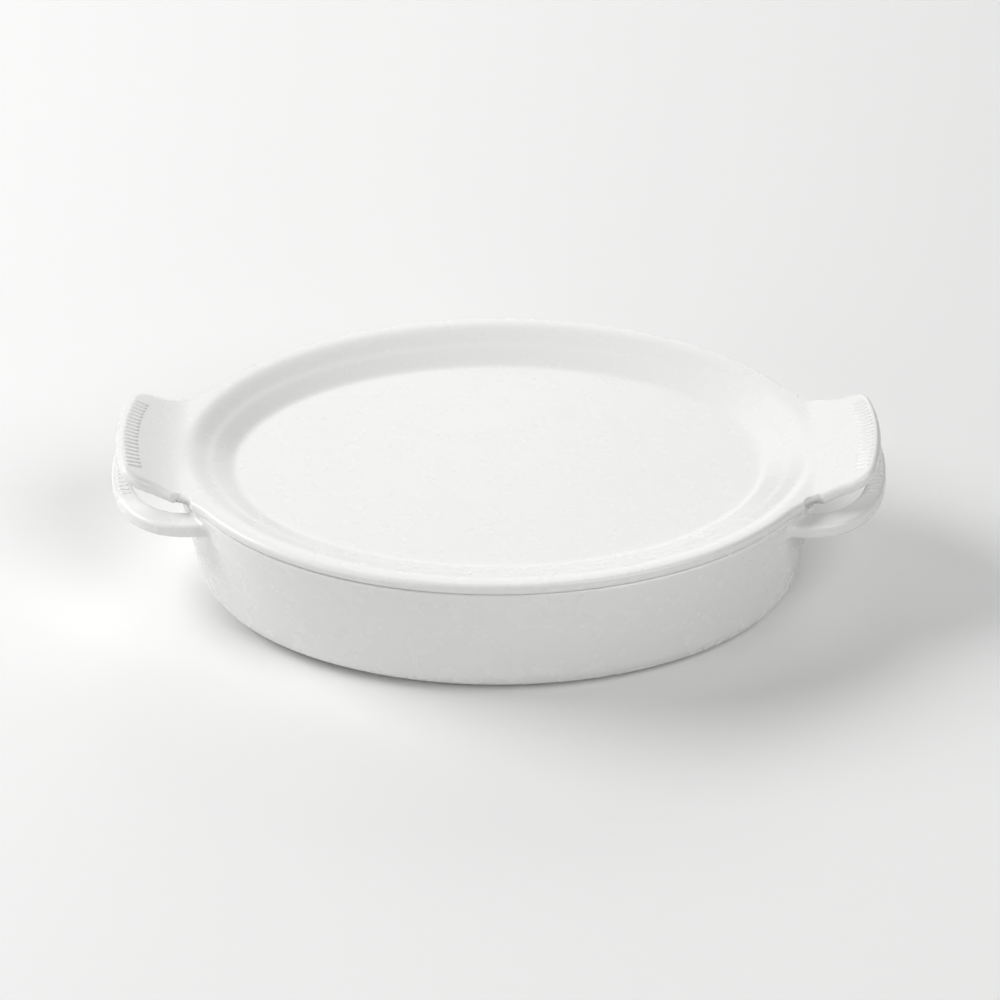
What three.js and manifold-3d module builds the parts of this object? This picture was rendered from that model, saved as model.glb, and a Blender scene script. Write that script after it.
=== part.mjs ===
// Oval covered casserole: a deep dish with two open loop handles, and a platter lid whose two
// wing handles turn up at their tips. Millimetres, +Z up, handles along X, the foot on z = 0.
import * as THREE from 'three';
import Module from 'manifold-3d';
import { mergeVertices } from 'three/addons/utils/BufferGeometryUtils.js';

const wasm = await Module();
wasm.setup();

// Driving dimensions. An inset is the distance inward from the oval edge of the lid.
const HALF_LENGTH = 171;
const HALF_WIDTH = 125;
const DISH_HEIGHT = 70;
const LID_GAP = 0.3;
const LID_RIM_TOP = 76;
const AROUND = 80;

// Dish: a drafted wall, a rounded heel, and a foot ring round a shallow recess.
const DISH_EDGE_INSET = 0.5;
const DRAFT = 10;
const END_DRAFT = 3.4;
const WALL = 6.5;
const FLOOR = 7;
const HEEL_RADIUS = 14;
const INNER_RADIUS = 16;
const FOOT_WIDTH = 7;
const FOOT_RECESS = 1.2;
const RIM_OUTER_ROUND = 1.2;
const RIM_INNER_ROUND = 3;

// Loop handles: a bar bent round a superellipse, which is an ellipse with squarer shoulders.
const LOOP_CENTRE = 160;
const LOOP_TIP = 202.8;
const LOOP_HALF_WIDTH = 58.3;
const LOOP_BAR_AT_TIP = 9.5;
const LOOP_BAR_AT_SIDE = 13.6;
const LOOP_EXPONENT = 2.3;
const LOOP_TOP = 66;
const LOOP_THICKNESS = 7.6;
const LOOP_ROUND = 2;
const LOOP_ROOT_OUTER = 144.5;
const LOOP_ROOT_INNER = 152;
const LOOP_STEPS = 22;

// Lid: a flat rim, a crest, and a well whose floor hangs inside the mouth of the dish.
const LID_FLAT_END = 5;
const LID_WELL_DEPTH = 10.5;
const LID_THICKNESS = 6;
const LID_EDGE_ROUND = 3;
const LID_SEAT_END = 9;
const LID_FLOOR_START = 36;

// Wing handles: flat across, and rising along X from the rim to the tip.
const WING_TIP = 200;
const WING_HALF_WIDTH = 42.3;
const WING_RISE = 12.8;
const WING_RISE_START = 161.5;
const WING_RISE_END = 206;
const WING_THICKNESS = 6;
const WING_TIP_RADIUS = 134;
const WING_CORNER_RADIUS = 10;
const WING_FILLET_RADIUS = 18;
const WING_ROOT_INSET = 4;
const WING_STEPS = 12;

const glaze = { color: 0xf3f2ee, roughness: 0.22, metalness: 0 };

function smoothStep(value, start, end) {
  const t = THREE.MathUtils.clamp((value - start) / (end - start), 0, 1);
  return t * t * (3 - 2 * t);
}

// Closed three.js geometry to manifold solid, with shared vertices merged.
function toSolid(geometry) {
  const bare = geometry.clone();
  bare.deleteAttribute('normal');
  bare.deleteAttribute('uv');
  const merged = mergeVertices(bare, 1e-4);
  const index = merged.index.array;
  const corners = [];
  for (let i = 0; i < index.length; i += 3) {
    const [a, b, c] = [index[i], index[i + 1], index[i + 2]];
    if (a !== b && b !== c && c !== a) corners.push(a, b, c);
  }
  const vertProperties = new Float32Array(merged.attributes.position.array);
  const triVerts = new Uint32Array(corners);
  return new wasm.Manifold(new wasm.Mesh({ numProp: 3, vertProperties, triVerts }));
}

function toGeometry(solid) {
  const { vertProperties, triVerts } = solid.getMesh();
  const geometry = new THREE.BufferGeometry();
  geometry.setAttribute('position', new THREE.BufferAttribute(vertProperties, 3));
  geometry.setIndex(new THREE.BufferAttribute(triVerts, 1));
  geometry.computeVertexNormals();
  return geometry;
}

// Points of a quarter round from one angle to another, in degrees, as [inset, z].
function roundCorner(inset, z, radius, from, to, steps) {
  const points = [];
  for (let i = 0; i <= steps; i += 1) {
    const angle = THREE.MathUtils.degToRad(from + ((to - from) * i) / steps);
    points.push([inset + radius * Math.cos(angle), z + radius * Math.sin(angle)]);
  }
  return points;
}

// Solid of revolution squeezed to an oval: every ring keeps an even inset from the lid's edge.
// The profile's [inset, z] points run from the axis at the bottom round to the axis at the top.
// The end draft draws the two ends further in, by its whole length at the foot.
function ovalSolid(profile, bottomZ, topZ, endDraft) {
  const points = profile.map(([inset, z]) => new THREE.Vector2(HALF_LENGTH - inset, z));
  const closed = [new THREE.Vector2(0, bottomZ), ...points, new THREE.Vector2(0, topZ)];
  const geometry = new THREE.LatheGeometry(closed, AROUND);
  const position = geometry.attributes.position;
  for (let i = 0; i < position.count; i += 1) {
    const [across, height, along] = [position.getX(i), position.getY(i), position.getZ(i)];
    const radius = Math.hypot(across, along);
    const squeeze = radius > 1 ? (radius - HALF_LENGTH + HALF_WIDTH) / radius : 0;
    const end = radius > 1 ? (along / radius) ** 12 * Math.sign(along) : 0;
    const pinch = endDraft * (1 - height / DISH_HEIGHT) * end;
    position.setXYZ(i, along - pinch, across * squeeze, height);
  }
  return toSolid(geometry);
}

function wallInset(z) {
  return DISH_EDGE_INSET + (DRAFT * (DISH_HEIGHT - z)) / DISH_HEIGHT;
}

function dishBowl() {
  const heelInset = wallInset(HEEL_RADIUS) + HEEL_RADIUS;
  const innerFloorInset = wallInset(FLOOR + INNER_RADIUS) + WALL + INNER_RADIUS;
  const footInner = heelInset + FOOT_WIDTH;
  const lipInset = DISH_EDGE_INSET + RIM_OUTER_ROUND;
  const mouthInset = DISH_EDGE_INSET + WALL - RIM_INNER_ROUND;
  const profile = [
    [footInner + FOOT_RECESS, FOOT_RECESS],
    [footInner, 0],
    ...roundCorner(heelInset, HEEL_RADIUS, HEEL_RADIUS, 270, 180, 5),
    ...roundCorner(lipInset, DISH_HEIGHT - RIM_OUTER_ROUND, RIM_OUTER_ROUND, 180, 90, 2),
    ...roundCorner(mouthInset, DISH_HEIGHT - RIM_INNER_ROUND, RIM_INNER_ROUND, 90, 0, 3),
    ...roundCorner(innerFloorInset, FLOOR + INNER_RADIUS, INNER_RADIUS, 180, 270, 5),
  ];
  return ovalSolid(profile, FOOT_RECESS, FLOOR, END_DRAFT);
}

// One side of the loop's bar: a superellipse about the loop's centre, from -Y round to +Y.
function loopCurve(reach, halfWidth) {
  const points = [];
  for (let i = 0; i <= LOOP_STEPS; i += 1) {
    const angle = Math.PI * (i / LOOP_STEPS - 0.5);
    const along = Math.abs(Math.cos(angle)) ** (2 / LOOP_EXPONENT);
    const across = Math.abs(Math.sin(angle)) ** (2 / LOOP_EXPONENT) * Math.sign(angle);
    points.push(new THREE.Vector2(LOOP_CENTRE + reach * along, halfWidth * across));
  }
  return points;
}

function loopHandle() {
  const reach = LOOP_TIP - LOOP_CENTRE;
  const innerHalfWidth = LOOP_HALF_WIDTH - LOOP_BAR_AT_SIDE;
  const outline = [
    new THREE.Vector2(LOOP_ROOT_OUTER, -LOOP_HALF_WIDTH),
    ...loopCurve(reach, LOOP_HALF_WIDTH),
    new THREE.Vector2(LOOP_ROOT_OUTER, LOOP_HALF_WIDTH),
    new THREE.Vector2(LOOP_ROOT_INNER, innerHalfWidth),
    ...loopCurve(reach - LOOP_BAR_AT_TIP, innerHalfWidth).reverse(),
    new THREE.Vector2(LOOP_ROOT_INNER, -innerHalfWidth),
  ];
  const bar = new THREE.ExtrudeGeometry(new THREE.Shape(outline), {
    depth: LOOP_THICKNESS - 2 * LOOP_ROUND,
    bevelThickness: LOOP_ROUND,
    bevelSize: LOOP_ROUND,
    bevelOffset: -LOOP_ROUND,
    bevelSegments: 2,
  });
  return bar.translate(0, 0, LOOP_TOP - LOOP_THICKNESS + LOOP_ROUND);
}

// Height of the lid's upper face over its well, by inset.
function lidWellTop(inset) {
  return LID_RIM_TOP - LID_WELL_DEPTH * smoothStep(inset, LID_FLAT_END, LID_FLOOR_START);
}

function lidPlatter() {
  const underside = LID_RIM_TOP - LID_WELL_DEPTH - LID_THICKNESS;
  const seat = DISH_HEIGHT + LID_GAP;
  const under = [];
  const top = [];
  for (let i = 0; i <= 7; i += 1) {
    const inset = LID_SEAT_END + ((LID_FLOOR_START - LID_SEAT_END) * i) / 7;
    const drop = smoothStep(inset, LID_SEAT_END, LID_FLOOR_START);
    under.unshift([inset, seat - (seat - underside) * drop]);
  }
  for (let i = 0; i <= 8; i += 1) {
    const inset = LID_FLAT_END + ((LID_FLOOR_START - LID_FLAT_END) * i) / 8;
    top.push([inset, lidWellTop(inset)]);
  }
  const edge = roundCorner(LID_EDGE_ROUND, LID_RIM_TOP - LID_EDGE_ROUND, LID_EDGE_ROUND, 180, 90, 3);
  const profile = [...under, [1, seat], [0, seat + 1], ...edge, ...top];
  return ovalSolid(profile, underside, LID_RIM_TOP - LID_WELL_DEPTH, 0);
}

function wingTop(x) {
  return LID_RIM_TOP + WING_RISE * smoothStep(x, WING_RISE_START, WING_RISE_END);
}

// Seen from the side: the upward sweep of the wing, extruded across the lid.
function wingSweep() {
  const start = HALF_LENGTH - 45;
  const upper = [new THREE.Vector2(start, LID_RIM_TOP)];
  const lower = [new THREE.Vector2(start, DISH_HEIGHT + LID_GAP)];
  for (let i = 0; i <= WING_STEPS; i += 1) {
    const x = WING_RISE_START + ((WING_TIP + 1 - WING_RISE_START) * i) / WING_STEPS;
    const bottom = Math.max(wingTop(x) - WING_THICKNESS, DISH_HEIGHT + LID_GAP);
    upper.push(new THREE.Vector2(x, wingTop(x)));
    lower.push(new THREE.Vector2(x, bottom));
  }
  const outline = new THREE.Shape([...lower, ...upper.reverse()]);
  const width = 2 * HALF_WIDTH;
  const sweep = new THREE.ExtrudeGeometry(outline, { depth: width, bevelEnabled: false });
  return sweep.rotateX(Math.PI / 2).translate(0, width / 2, 0);
}

// Seen from above: straight sides, round corners, an arched tip, and fillets into the rim.
function wingPlan() {
  const cornerX = WING_TIP - WING_TIP_RADIUS + Math.sqrt(
    (WING_TIP_RADIUS - WING_CORNER_RADIUS) ** 2 - (WING_HALF_WIDTH - WING_CORNER_RADIUS) ** 2,
  );
  const cornerY = WING_HALF_WIDTH - WING_CORNER_RADIUS;
  const turn = Math.asin(cornerY / (WING_TIP_RADIUS - WING_CORNER_RADIUS));
  const filletY = WING_HALF_WIDTH + WING_FILLET_RADIUS;
  const filletX = rimX(filletY, -WING_FILLET_RADIUS);
  const meet = Math.atan2(filletY / HALF_WIDTH ** 2, filletX / HALF_LENGTH ** 2);
  const rootY = filletY - WING_FILLET_RADIUS * Math.sin(meet);
  const rootX = filletX - WING_FILLET_RADIUS * Math.cos(meet);
  const plan = new THREE.Shape();
  plan.moveTo(rimX(rootY, WING_ROOT_INSET), -rootY);
  plan.lineTo(rootX, -rootY);
  plan.absarc(filletX, -filletY, WING_FILLET_RADIUS, Math.PI - meet, Math.PI / 2, true);
  plan.absarc(cornerX, -cornerY, WING_CORNER_RADIUS, -Math.PI / 2, -turn, false);
  plan.absarc(WING_TIP - WING_TIP_RADIUS, 0, WING_TIP_RADIUS, -turn, turn, false);
  plan.absarc(cornerX, cornerY, WING_CORNER_RADIUS, turn, Math.PI / 2, false);
  plan.absarc(filletX, filletY, WING_FILLET_RADIUS, -Math.PI / 2, meet - Math.PI, true);
  plan.lineTo(rimX(rootY, WING_ROOT_INSET), rootY);
  for (let i = 1; i < WING_STEPS; i += 1) {
    const y = rootY * (1 - (2 * i) / WING_STEPS);
    plan.lineTo(rimX(y, WING_ROOT_INSET), y);
  }
  return new THREE.ExtrudeGeometry(plan, { depth: 40, bevelEnabled: false, curveSegments: 8 })
    .translate(0, 0, LID_RIM_TOP - 20);
}

// X of the oval with an even inset from the lid's edge, at a distance y from the long axis.
function rimX(y, inset) {
  return (HALF_LENGTH - inset) * Math.sqrt(1 - (y / (HALF_WIDTH - inset)) ** 2);
}

function wingHandle() {
  return toGeometry(toSolid(wingSweep()).intersect(toSolid(wingPlan())));
}

// A body with the same handle at both ends.
function withHandles(body, handle) {
  const opposite = handle.clone().rotateZ(Math.PI);
  return toGeometry(body.add(toSolid(handle)).add(toSolid(opposite)));
}

function named(name, geometry) {
  const mesh = new THREE.Mesh(geometry, new THREE.MeshStandardMaterial(glaze));
  mesh.name = name;
  return mesh;
}

const group = new THREE.Group();
group.add(named('dish', withHandles(dishBowl(), loopHandle())));
group.add(named('lid', withHandles(lidPlatter(), wingHandle())));

export default group;
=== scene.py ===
"""Oval covered casserole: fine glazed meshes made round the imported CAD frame.

Each piece starts as a voxel skin of its CAD node. The skin's points are then moved onto a smooth
field, which is the same shape with the clay's fillets and soft edges. A row of beads is raised on
the handles last. A field is negative inside the clay. Lengths are millimetres in the fields, and
metres in Blender.
"""

import math

import bmesh
import bpy
import numpy as np
from mathutils import Matrix, Vector


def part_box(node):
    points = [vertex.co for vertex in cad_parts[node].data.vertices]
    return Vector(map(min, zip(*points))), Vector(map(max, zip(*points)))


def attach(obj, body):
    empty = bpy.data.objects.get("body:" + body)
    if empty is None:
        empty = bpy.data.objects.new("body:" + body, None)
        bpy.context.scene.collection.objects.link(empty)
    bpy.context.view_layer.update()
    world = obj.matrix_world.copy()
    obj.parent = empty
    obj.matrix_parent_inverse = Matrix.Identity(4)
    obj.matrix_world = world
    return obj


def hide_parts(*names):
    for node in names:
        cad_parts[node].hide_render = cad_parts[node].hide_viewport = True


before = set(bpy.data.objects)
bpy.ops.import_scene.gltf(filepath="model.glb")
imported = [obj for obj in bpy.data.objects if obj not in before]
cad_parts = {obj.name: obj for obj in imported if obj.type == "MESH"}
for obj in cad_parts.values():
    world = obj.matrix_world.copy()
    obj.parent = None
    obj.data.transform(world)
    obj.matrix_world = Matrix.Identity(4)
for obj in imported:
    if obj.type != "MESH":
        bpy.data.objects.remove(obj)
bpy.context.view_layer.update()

MM = 0.001
dish_high = np.array(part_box("dish")[1]) / MM
lid_high = np.array(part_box("lid")[1]) / MM

# The oval edge of the lid. An inset is a distance inward from it.
HALF_WIDTH = lid_high[1]
HALF_LENGTH = HALF_WIDTH + 46

# Dish
DISH_HEIGHT = dish_high[2]
DISH_EDGE_INSET = 0.5
DRAFT = 10
END_DRAFT = 3.4
WALL = 6.5
FLOOR = 7
HEEL_ROUND = 14
INNER_ROUND = 16
FOOT_INNER_INSET = 29.5
FOOT_RECESS = 1.2
FOOT_ROUND = 0.8
DISH_LIP_ROUND = 1.6
MOUTH_ROUND = 3

# Loop handles of the dish
LOOP_CENTRE = 160
LOOP_REACH = dish_high[0] - LOOP_CENTRE
LOOP_HALF_WIDTH = 58.3
LOOP_BAR_AT_TIP = 9.5
LOOP_BAR_AT_SIDE = 13.6
LOOP_EXPONENT = 2.3
LOOP_TOP = DISH_HEIGHT - 4
LOOP_THICKNESS = 7.6
LOOP_TOP_ROUND = 2.2
LOOP_UNDER_ROUND = 1.6
LOOP_FILLET = 2.5

# Lid
LID_RIM_TOP = DISH_HEIGHT + 6
LID_SEAT = DISH_HEIGHT + 0.3
LID_THICKNESS = 6
LID_TOP_ROUND = 2.6
LID_SEAT_ROUND = 1.6
LID_SEAT_END = 9
# The underside is a soft maximum of the seat and the wing, sunk to bring the seat back to its height
LID_UNDER_BLEND = 1.2
LID_UNDER_SINK = 0.5
# Inward for each millimetre down
LID_EDGE_TAPER = 0.1
WELL_DEPTH = 10.5
WELL_START = 3.5
WELL_CREST_END = 14
WELL_LEDGE = 20
WELL_LEDGE_WIDTH = 1.8
WELL_LEDGE_FLATTENS = 0.3
WELL_COVE_START = 29
WELL_END = 35.5

# Wing handles of the lid
WING_TIP = lid_high[0]
WING_HALF_WIDTH = 42.3
WING_RISE = 12.8
WING_RISE_START = 161.5
WING_RISE_END = 206
WING_TIP_RADIUS = 134
WING_CORNER_RADIUS = 10
WING_EXTRA_ROUND = 2
WING_ROUND_START = 166
WING_ROUND_END = 184
WING_FILLET_RADIUS = 18

# The raised row of long beads, side by side, on each handle
BEAD_PITCH = 3.45
BEAD_HEIGHT = 0.4
BEAD_EDGE = 0.4
BEAD_HALF_WIDTH = 1.1
WING_ROW_HALF_LENGTH = 10 * BEAD_PITCH
WING_ROW_HALF_WIDTH = 3.6
WING_ROW_INSET = 8
LOOP_ROW_HALF_LENGTH = 9 * BEAD_PITCH
LOOP_ROW_HALF_WIDTH = 2.6
LOOP_ROW_INSET = 5.2

# Camera and lights, in degrees and metres
CAMERA_AZIMUTH = 0.92
CAMERA_ELEVATION = 35
CAMERA_ROLL = -0.45
CAMERA_DISTANCE = 2.8
CAMERA_LENS_MM = 191
CAMERA_TARGET_HEIGHT = 0.035
CAMERA_TO_RIGHT = 0.0006
CAMERA_UP = 0.0059
LIGHT_DISTANCE = 2.4
LIGHT_SIZE = 1.6
WORLD_STRENGTH = 0.01

# Height in metres below which the foot ring is bare clay
FOOT_GLAZE_LINE = 0.0006

# Meshes
VOXEL = 1.3
BEAD_CUTS = 3
ROW_MARGIN = 1.5
FINE_EDGE_WIDTH = 2.8


def smooth_step(value, start, end):
    t = np.clip((value - start) / (end - start), 0, 1)
    return t * t * (3 - 2 * t)


def round_max(a, b, radius):
    """Where both shapes are, with the edge between them rounded to a radius."""
    corner = np.hypot(np.maximum(a + radius, 0), np.maximum(b + radius, 0))
    return np.minimum(np.maximum(a, b), -radius) + corner


def round_min(a, b, radius):
    """Where either shape is, with a fillet between them."""
    return -round_max(-a, -b, radius)


def oval_inset(x, y):
    """Distance inward from the lid's oval edge, over ovals that keep an even inset."""
    inset = np.zeros_like(x)
    for _ in range(6):
        half_length = HALF_LENGTH - inset
        half_width = HALF_WIDTH - inset
        size = np.maximum(np.hypot(x / half_length, y / half_width), 1e-3)
        growth = (x**2 / half_length**3 + y**2 / half_width**3) / size
        inset = np.clip(inset + size * (1 - size) / growth, -80, HALF_WIDTH - 15)
    return inset


def wall_inset(x, y, z, inset):
    """Inset of the dish's wall, which leans in more at the two ends than along the sides."""
    along = (x / (HALF_LENGTH - inset)) ** 2
    across = (y / (HALF_WIDTH - inset)) ** 2
    end = (along / np.maximum(along + across, 1e-6)) ** 6
    return DISH_EDGE_INSET + (DRAFT + END_DRAFT * end) * (DISH_HEIGHT - z) / DISH_HEIGHT


def superellipse_distance(x, y, reach, half_width):
    """Distance outward from an end-on superellipse, one side of a loop's bar, to first order."""
    u = np.maximum(x - LOOP_CENTRE, 0) / reach
    v = np.abs(y) / half_width
    size = np.maximum((u**LOOP_EXPONENT + v**LOOP_EXPONENT) ** (1 / LOOP_EXPONENT), 1e-3)
    slope_x = (u / size) ** (LOOP_EXPONENT - 1) / reach
    slope_y = (v / size) ** (LOOP_EXPONENT - 1) / half_width
    return (size - 1) / np.hypot(slope_x, slope_y)


def loop_outer(x, y):
    return superellipse_distance(np.abs(x), y, LOOP_REACH, LOOP_HALF_WIDTH)


def loop_field(x, y, z):
    inner = superellipse_distance(
        np.abs(x), y, LOOP_REACH - LOOP_BAR_AT_TIP, LOOP_HALF_WIDTH - LOOP_BAR_AT_SIDE
    )
    plan = np.maximum(loop_outer(x, y), -inner)
    bar = round_max(plan, z - LOOP_TOP, LOOP_TOP_ROUND)
    return round_max(bar, LOOP_TOP - LOOP_THICKNESS - z, LOOP_UNDER_ROUND)


def dish_field(points):
    x, y, z = points.T
    inset = oval_inset(x, y)
    wall = wall_inset(x, y, z, inset)
    body = round_max(wall - inset, -z, HEEL_ROUND)
    body = round_min(body, loop_field(x, y, z), LOOP_FILLET)
    body = round_max(body, z - DISH_HEIGHT, DISH_LIP_ROUND)
    cavity = round_max(wall + WALL - inset, FLOOR - z, INNER_ROUND)
    body = round_max(body, -cavity, MOUTH_ROUND)
    recess = np.maximum(FOOT_INNER_INSET - inset, z - FOOT_RECESS)
    return round_max(body, -recess, FOOT_ROUND)


def lid_outline(x, y, inset):
    """The lid seen from above: the oval and its two wings, with fillets between them."""
    arch_centre = WING_TIP - WING_TIP_RADIUS
    arch = np.hypot(np.abs(x) - arch_centre, y) - WING_TIP_RADIUS
    wing = round_max(arch, np.abs(y) - WING_HALF_WIDTH, WING_CORNER_RADIUS)
    wing = np.where(np.abs(x) > arch_centre, wing, np.abs(y) - WING_HALF_WIDTH)
    return round_min(-inset, wing, WING_FILLET_RADIUS)


def well_profile():
    """Insets and depths of the well's wall: a long soft crest, a faint ledge, and a tight cove."""
    insets = np.linspace(WELL_START, WELL_END, 129)
    crest = smooth_step(insets, WELL_START, WELL_CREST_END)
    cove = 1 - smooth_step(insets, WELL_COVE_START, WELL_END)
    from_ledge = (insets - WELL_LEDGE) / WELL_LEDGE_WIDTH
    ledge = WELL_LEDGE_FLATTENS * np.exp(-(from_ledge**2))
    steepness = crest * cove * (1 - ledge)
    depths = np.cumsum(steepness)
    return insets, WELL_DEPTH * depths / depths[-1]


WELL_INSETS, WELL_DEPTHS = well_profile()


def wing_lift(x):
    return WING_RISE * smooth_step(np.abs(x), WING_RISE_START, WING_RISE_END)


def lid_field(points):
    x, y, z = points.T
    inset = oval_inset(x, y)
    lift = wing_lift(x)
    top = LID_RIM_TOP + lift - np.interp(inset, WELL_INSETS, WELL_DEPTHS)
    over_seat = LID_RIM_TOP + lift - LID_THICKNESS - LID_SEAT
    raised = 0.5 * (over_seat + np.hypot(over_seat, LID_UNDER_BLEND))
    under = LID_SEAT + raised - LID_UNDER_SINK
    full_drop = LID_SEAT - LID_RIM_TOP + LID_THICKNESS + WELL_DEPTH
    drop = full_drop * smooth_step(inset, LID_SEAT_END, WELL_END)
    below_rim = np.clip(LID_RIM_TOP + lift - z, 0, LID_THICKNESS)
    outline = lid_outline(x, y, inset) + LID_EDGE_TAPER * below_rim
    on_wing = smooth_step(np.abs(x), WING_ROUND_START, WING_ROUND_END)
    edge_round = LID_TOP_ROUND + WING_EXTRA_ROUND * on_wing
    upper = round_max(outline, z - top, edge_round)
    return round_max(upper, under - drop - z, LID_SEAT_ROUND)


def bead_height(along, across, half_length, half_width):
    """Height of the beads at a distance along the row and across it, from its middle."""
    last_bead = half_length - 0.5 * BEAD_PITCH
    within = np.clip(along, -last_bead, last_bead)
    from_bead = along - BEAD_PITCH * np.round(within / BEAD_PITCH)
    past_end = np.maximum(np.abs(across) - half_width + BEAD_HALF_WIDTH, 0)
    shape = np.hypot(from_bead, past_end) - BEAD_HALF_WIDTH
    return BEAD_HEIGHT * smooth_step(-shape, -BEAD_EDGE, BEAD_EDGE)


def wing_row(points):
    """Place of a point in the row that follows the arch of a wing's tip."""
    x = np.abs(points[:, 0]) - WING_TIP + WING_TIP_RADIUS
    y = points[:, 1]
    along = WING_TIP_RADIUS * np.arctan2(y, x)
    return along, np.hypot(x, y) - WING_TIP_RADIUS + WING_ROW_INSET


def loop_row(points):
    """Place of a point in the row that follows the tip of a loop's bar."""
    return points[:, 1], loop_outer(points[:, 0], points[:, 1]) + LOOP_ROW_INSET


def gradient(field, points, step=0.04):
    columns = []
    for axis in range(3):
        offset = np.zeros(3)
        offset[axis] = step
        columns.append((field(points + offset) - field(points - offset)) / (2 * step))
    return np.stack(columns, axis=1)


def settle(field, points, rounds):
    """Moves points onto the field's surface, at most 1.5 mm a round."""
    for _ in range(rounds):
        slope = gradient(field, points)
        steepness = np.maximum((slope**2).sum(axis=1), 0.1)
        move = slope * (field(points) / steepness)[:, None]
        length = np.maximum(np.linalg.norm(move, axis=1), 1e-9)
        points = points - move * np.minimum(1, 1.5 / length)[:, None]
    return points


def relax(points, edges):
    """Moves each point half way to the middle of its neighbours."""
    ends = np.concatenate([edges, edges[:, ::-1]])
    count = np.bincount(ends[:, 0], minlength=len(points))
    total = [np.bincount(ends[:, 0], points[ends[:, 1], k], len(points)) for k in range(3)]
    return 0.5 * points + 0.5 * np.stack(total, axis=1) / count[:, None]


def read_points(mesh):
    points = np.empty(len(mesh.vertices) * 3)
    mesh.vertices.foreach_get("co", points)
    return points.reshape(-1, 3) / MM


def write_points(mesh, points):
    mesh.vertices.foreach_set("co", (points * MM).ravel())
    mesh.update()


def read_edges(mesh):
    edges = np.empty(len(mesh.edges) * 2, dtype=np.int32)
    mesh.edges.foreach_get("vertices", edges)
    return edges.reshape(-1, 2)


def voxel_skin(name, node):
    """A new object whose mesh is an even skin of quads over a CAD node."""
    piece = bpy.data.objects.new(name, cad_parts[node].data.copy())
    bpy.context.scene.collection.objects.link(piece)
    remesh = piece.modifiers.new("skin", "REMESH")
    remesh.mode = "VOXEL"
    remesh.voxel_size = VOXEL * MM
    depsgraph = bpy.context.evaluated_depsgraph_get()
    skin = bpy.data.meshes.new_from_object(piece.evaluated_get(depsgraph))
    piece.modifiers.clear()
    piece.data = skin
    return piece


def refine(mesh, chosen, cuts):
    """Cuts the faces that are chosen by their centres into a finer grid."""
    centres = np.empty(len(mesh.polygons) * 3)
    mesh.polygons.foreach_get("center", centres)
    picked = chosen(centres.reshape(-1, 3) / MM)
    cut = bmesh.new()
    cut.from_mesh(mesh)
    cut.faces.ensure_lookup_table()
    edges = set()
    for index in np.flatnonzero(picked):
        edges.update(cut.faces[index].edges)
    bmesh.ops.subdivide_edges(cut, edges=list(edges), cuts=cuts, use_grid_fill=True)
    cut.to_mesh(mesh)
    cut.free()


def raise_beads(mesh, field, place, half_length, half_width, floor_z):
    """Cuts the mesh finer round the row of beads, and lifts the beads off the clay."""

    def on_handle(points):
        return (np.abs(points[:, 0]) > LOOP_CENTRE) & (points[:, 2] > floor_z)

    def near_row(centres):
        along, across = place(centres)
        near = np.abs(along) < half_length + ROW_MARGIN
        near &= np.abs(across) < half_width + ROW_MARGIN
        return near & on_handle(centres)

    refine(mesh, near_row, BEAD_CUTS)
    points = settle(field, read_points(mesh), 2)
    outward = gradient(field, points)
    outward /= np.linalg.norm(outward, axis=1)[:, None]
    along, across = place(points)
    height = bead_height(along, across, half_length, half_width)
    on_top = on_handle(points) & (outward[:, 2] > 0.5)
    write_points(mesh, points + outward * np.where(on_top, height, 0)[:, None])


def clay_piece(name, node, body, field, has_edge):
    """A CAD node's fine mesh: its voxel skin, evened out and settled on the smooth field."""
    piece = voxel_skin(name, node)
    mesh = piece.data
    points = settle(field, read_points(mesh), 6)
    edges = read_edges(mesh)
    for _ in range(8):
        points = settle(field, relax(relax(points, edges), edges), 1)
    write_points(mesh, points)
    refine(mesh, has_edge, 1)
    points = read_points(mesh)
    edges = read_edges(mesh)
    for _ in range(3):
        points = settle(field, relax(points, edges), 1)
    write_points(mesh, settle(field, points, 1))
    mesh.shade_smooth()
    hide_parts(node)
    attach(piece, body)
    return piece


def dish_edges(points):
    """The loop handles, the lip and the foot ring, where the dish's mesh is cut finer."""
    x, _, z = points.T
    loops = (np.abs(x) > LOOP_CENTRE) & (z > LOOP_TOP - LOOP_THICKNESS - 2)
    return loops | (z > DISH_HEIGHT - 3) | (z < 1)


def lid_edges(points):
    """The edge of the lid and of its wings, where the lid's mesh is cut finer."""
    x, y, _ = points.T
    return lid_outline(x, y, oval_inset(x, y)) > -FINE_EDGE_WIDTH


def add_node(tree, kind, inputs, **settings):
    """A new node. An input's value is a constant, or another node's output to link to it."""
    node = tree.nodes.new(kind)
    for name, value in settings.items():
        setattr(node, name, value)
    for name, value in inputs.items():
        if isinstance(value, bpy.types.NodeSocket):
            tree.links.new(value, node.inputs[name])
        else:
            node.inputs[name].default_value = value
    return node


def noise(tree, place, scale, detail):
    """Noise over the surface. The scale is in features per metre."""
    inputs = {"Vector": place, "Scale": scale, "Detail": detail}
    return add_node(tree, "ShaderNodeTexNoise", inputs).outputs["Fac"]


def ramp(tree, factor, start, end):
    """A factor stretched so that start becomes 0 and end becomes 1."""
    inputs = {"Value": factor, "From Min": start, "From Max": end}
    return add_node(tree, "ShaderNodeMapRange", inputs).outputs["Result"]


def blend(tree, factor, first, second):
    inputs = {"Fac": factor, "Color1": first, "Color2": second}
    return add_node(tree, "ShaderNodeMixRGB", inputs).outputs["Color"]


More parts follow.
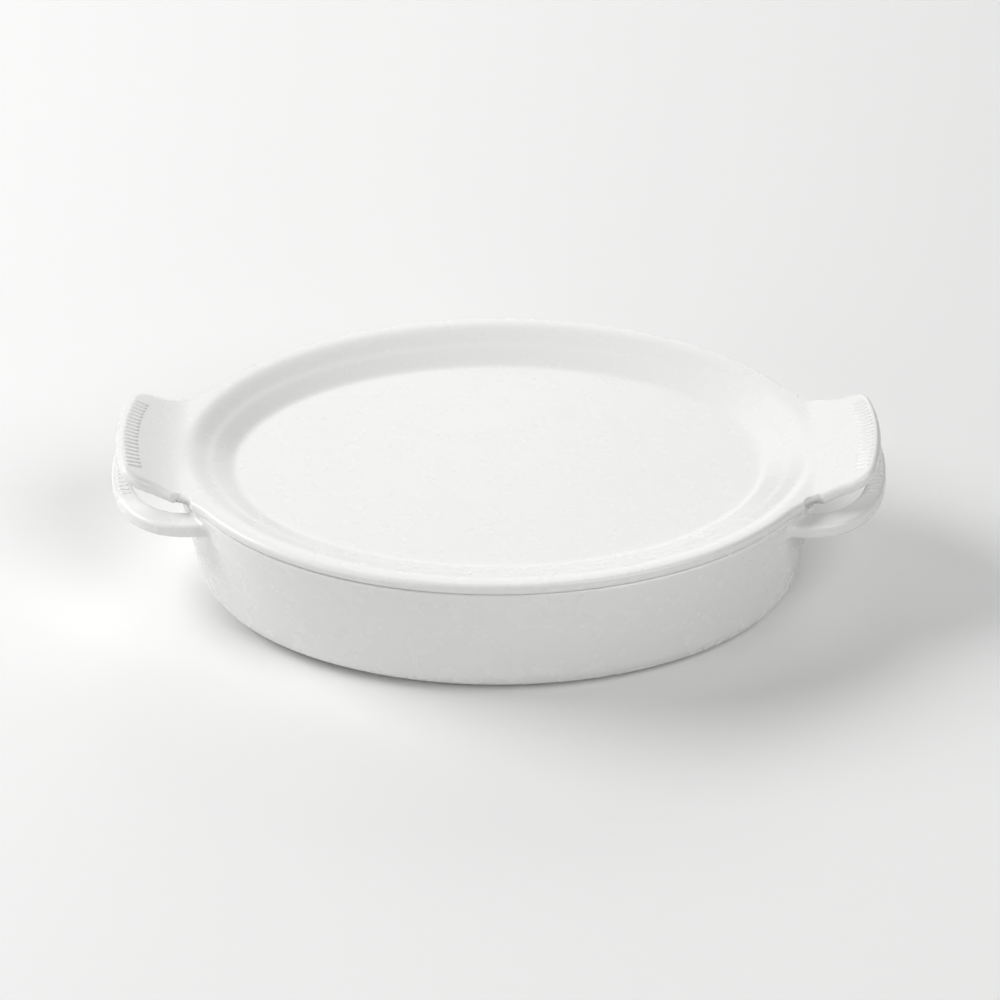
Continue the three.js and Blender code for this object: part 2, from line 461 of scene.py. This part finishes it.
def glaze_material():
    """White glaze: clouded by its thickness, thin on the edges, and wiped off the foot ring."""
    material = bpy.data.materials.new("white_glaze")
    material.use_nodes = True
    tree = material.node_tree
    shader = tree.nodes["Principled BSDF"]
    place = tree.nodes.new("ShaderNodeTexCoord").outputs["Object"]
    pointiness = tree.nodes.new("ShaderNodeNewGeometry").outputs["Pointiness"]
    height = add_node(tree, "ShaderNodeSeparateXYZ", {"Vector": place}).outputs["Z"]

    clouds = ramp(tree, noise(tree, place, 7, 1), 0.2, 0.8)
    glaze = blend(tree, clouds, (0.826, 0.827, 0.816, 1), (0.836, 0.836, 0.827, 1))
    edge = ramp(tree, pointiness, 0.55, 0.65)
    glaze = blend(tree, edge, glaze, (0.81, 0.805, 0.785, 1))
    grit = ramp(tree, noise(tree, place, 900, 3), 0.3, 0.7)
    clay = blend(tree, grit, (0.60, 0.52, 0.42, 1), (0.72, 0.65, 0.56, 1))
    wiped = ramp(tree, height, FOOT_GLAZE_LINE + 0.0002, FOOT_GLAZE_LINE)
    colour = blend(tree, wiped, glaze, clay)
    tree.links.new(colour, shader.inputs["Base Color"])

    streaks = noise(tree, place, 55, 3)
    inputs = {"Value": streaks, "From Min": 0.3, "From Max": 0.7, "To Min": 0.24, "To Max": 0.30}
    gloss = add_node(tree, "ShaderNodeMapRange", inputs).outputs["Result"]
    inputs = {"Value": wiped, "From Min": 0, "From Max": 1, "To Min": gloss, "To Max": 0.85}
    roughness = add_node(tree, "ShaderNodeMapRange", inputs).outputs["Result"]
    tree.links.new(roughness, shader.inputs["Roughness"])

    inputs = {"Height": noise(tree, place, 25, 1), "Strength": 0.05, "Distance": 0.0004}
    waves = add_node(tree, "ShaderNodeBump", inputs).outputs["Normal"]
    inputs = {
        "Height": noise(tree, place, 420, 1), "Strength": 0.04, "Distance": 0.0001, "Normal": waves,
    }
    peel = add_node(tree, "ShaderNodeBump", inputs).outputs["Normal"]
    tree.links.new(peel, shader.inputs["Normal"])
    return material


def floor_material():
    material = bpy.data.materials.new("pale_floor")
    material.use_nodes = True
    shader = material.node_tree.nodes["Principled BSDF"]
    shader.inputs["Base Color"].default_value = (0.86, 0.86, 0.855, 1)
    shader.inputs["Roughness"].default_value = 0.55
    return material


def make_floor():
    mesh = bpy.data.meshes.new("floor")
    side = 6.0
    corners = [(-side, -side, 0), (side, -side, 0), (side, side, 0), (-side, side, 0)]
    mesh.from_pydata(corners, [], [(0, 1, 2, 3)])
    floor = bpy.data.objects.new("floor", mesh)
    bpy.context.scene.collection.objects.link(floor)
    mesh.materials.append(floor_material())


def aim(thing, place, target, roll=0.0):
    """Puts a camera or light at a place, looking at a target and rolled about its line of sight."""
    sight = Vector(target) - Vector(place)
    turn = sight.to_track_quat("-Z", "Y").to_matrix() @ Matrix.Rotation(roll, 3, "Z")
    thing.matrix_world = Matrix.Translation(place) @ turn.to_4x4()


def direction(azimuth, elevation):
    """Unit vector towards a bearing: azimuth 0 is the front, -Y, and 90 is the right, +X."""
    around = math.radians(azimuth)
    above = math.radians(elevation)
    return Vector((
        math.sin(around) * math.cos(above),
        -math.cos(around) * math.cos(above),
        math.sin(above),
    ))


def make_camera():
    data = bpy.data.cameras.new("camera")
    data.sensor_width = 36
    data.lens = CAMERA_LENS_MM
    camera = bpy.data.objects.new("camera", data)
    bpy.context.scene.collection.objects.link(camera)
    bpy.context.scene.camera = camera
    back = direction(CAMERA_AZIMUTH, CAMERA_ELEVATION)
    right = Vector((0, 0, 1)).cross(back).normalized()
    up = back.cross(right)
    target = Vector((0, 0, CAMERA_TARGET_HEIGHT)) + CAMERA_TO_RIGHT * right + CAMERA_UP * up
    aim(camera, target + CAMERA_DISTANCE * back, target, math.radians(CAMERA_ROLL))


def make_softbox(name, azimuth, elevation, power):
    data = bpy.data.lights.new(name, "AREA")
    data.shape = "DISK"
    data.size = LIGHT_SIZE
    data.energy = power
    light = bpy.data.objects.new(name, data)
    bpy.context.scene.collection.objects.link(light)
    aim(light, LIGHT_DISTANCE * direction(azimuth, elevation), (0, 0, 0))


def make_lights():
    """Five soft lights: name, azimuth, elevation and watts."""
    make_softbox("left", 255, 40, 45)
    make_softbox("right_front", 45, 45, 27)
    make_softbox("left_front", 315, 20, 11)
    make_softbox("back", 170, 20, 12)
    make_softbox("back_left", 200, 40, 8.5)
    world = bpy.data.worlds.new("studio")
    bpy.context.scene.world = world
    world.use_nodes = True
    background = world.node_tree.nodes["Background"]
    background.inputs["Color"].default_value = (1, 1, 1, 1)
    background.inputs["Strength"].default_value = WORLD_STRENGTH
    bpy.context.scene.view_settings.view_transform = "Standard"


make_camera()
make_lights()
make_floor()
glaze = glaze_material()
dish = clay_piece("dish_body", "dish", "dish", dish_field, dish_edges)
raise_beads(
    dish.data, dish_field, loop_row, LOOP_ROW_HALF_LENGTH, LOOP_ROW_HALF_WIDTH, LOOP_TOP - 3
)
lid = clay_piece("lid_body", "lid", "lid", lid_field, lid_edges)
raise_beads(
    lid.data, lid_field, wing_row, WING_ROW_HALF_LENGTH, WING_ROW_HALF_WIDTH, LID_RIM_TOP
)
for piece in (dish, lid):
    piece.data.materials.clear()
    piece.data.materials.append(glaze)
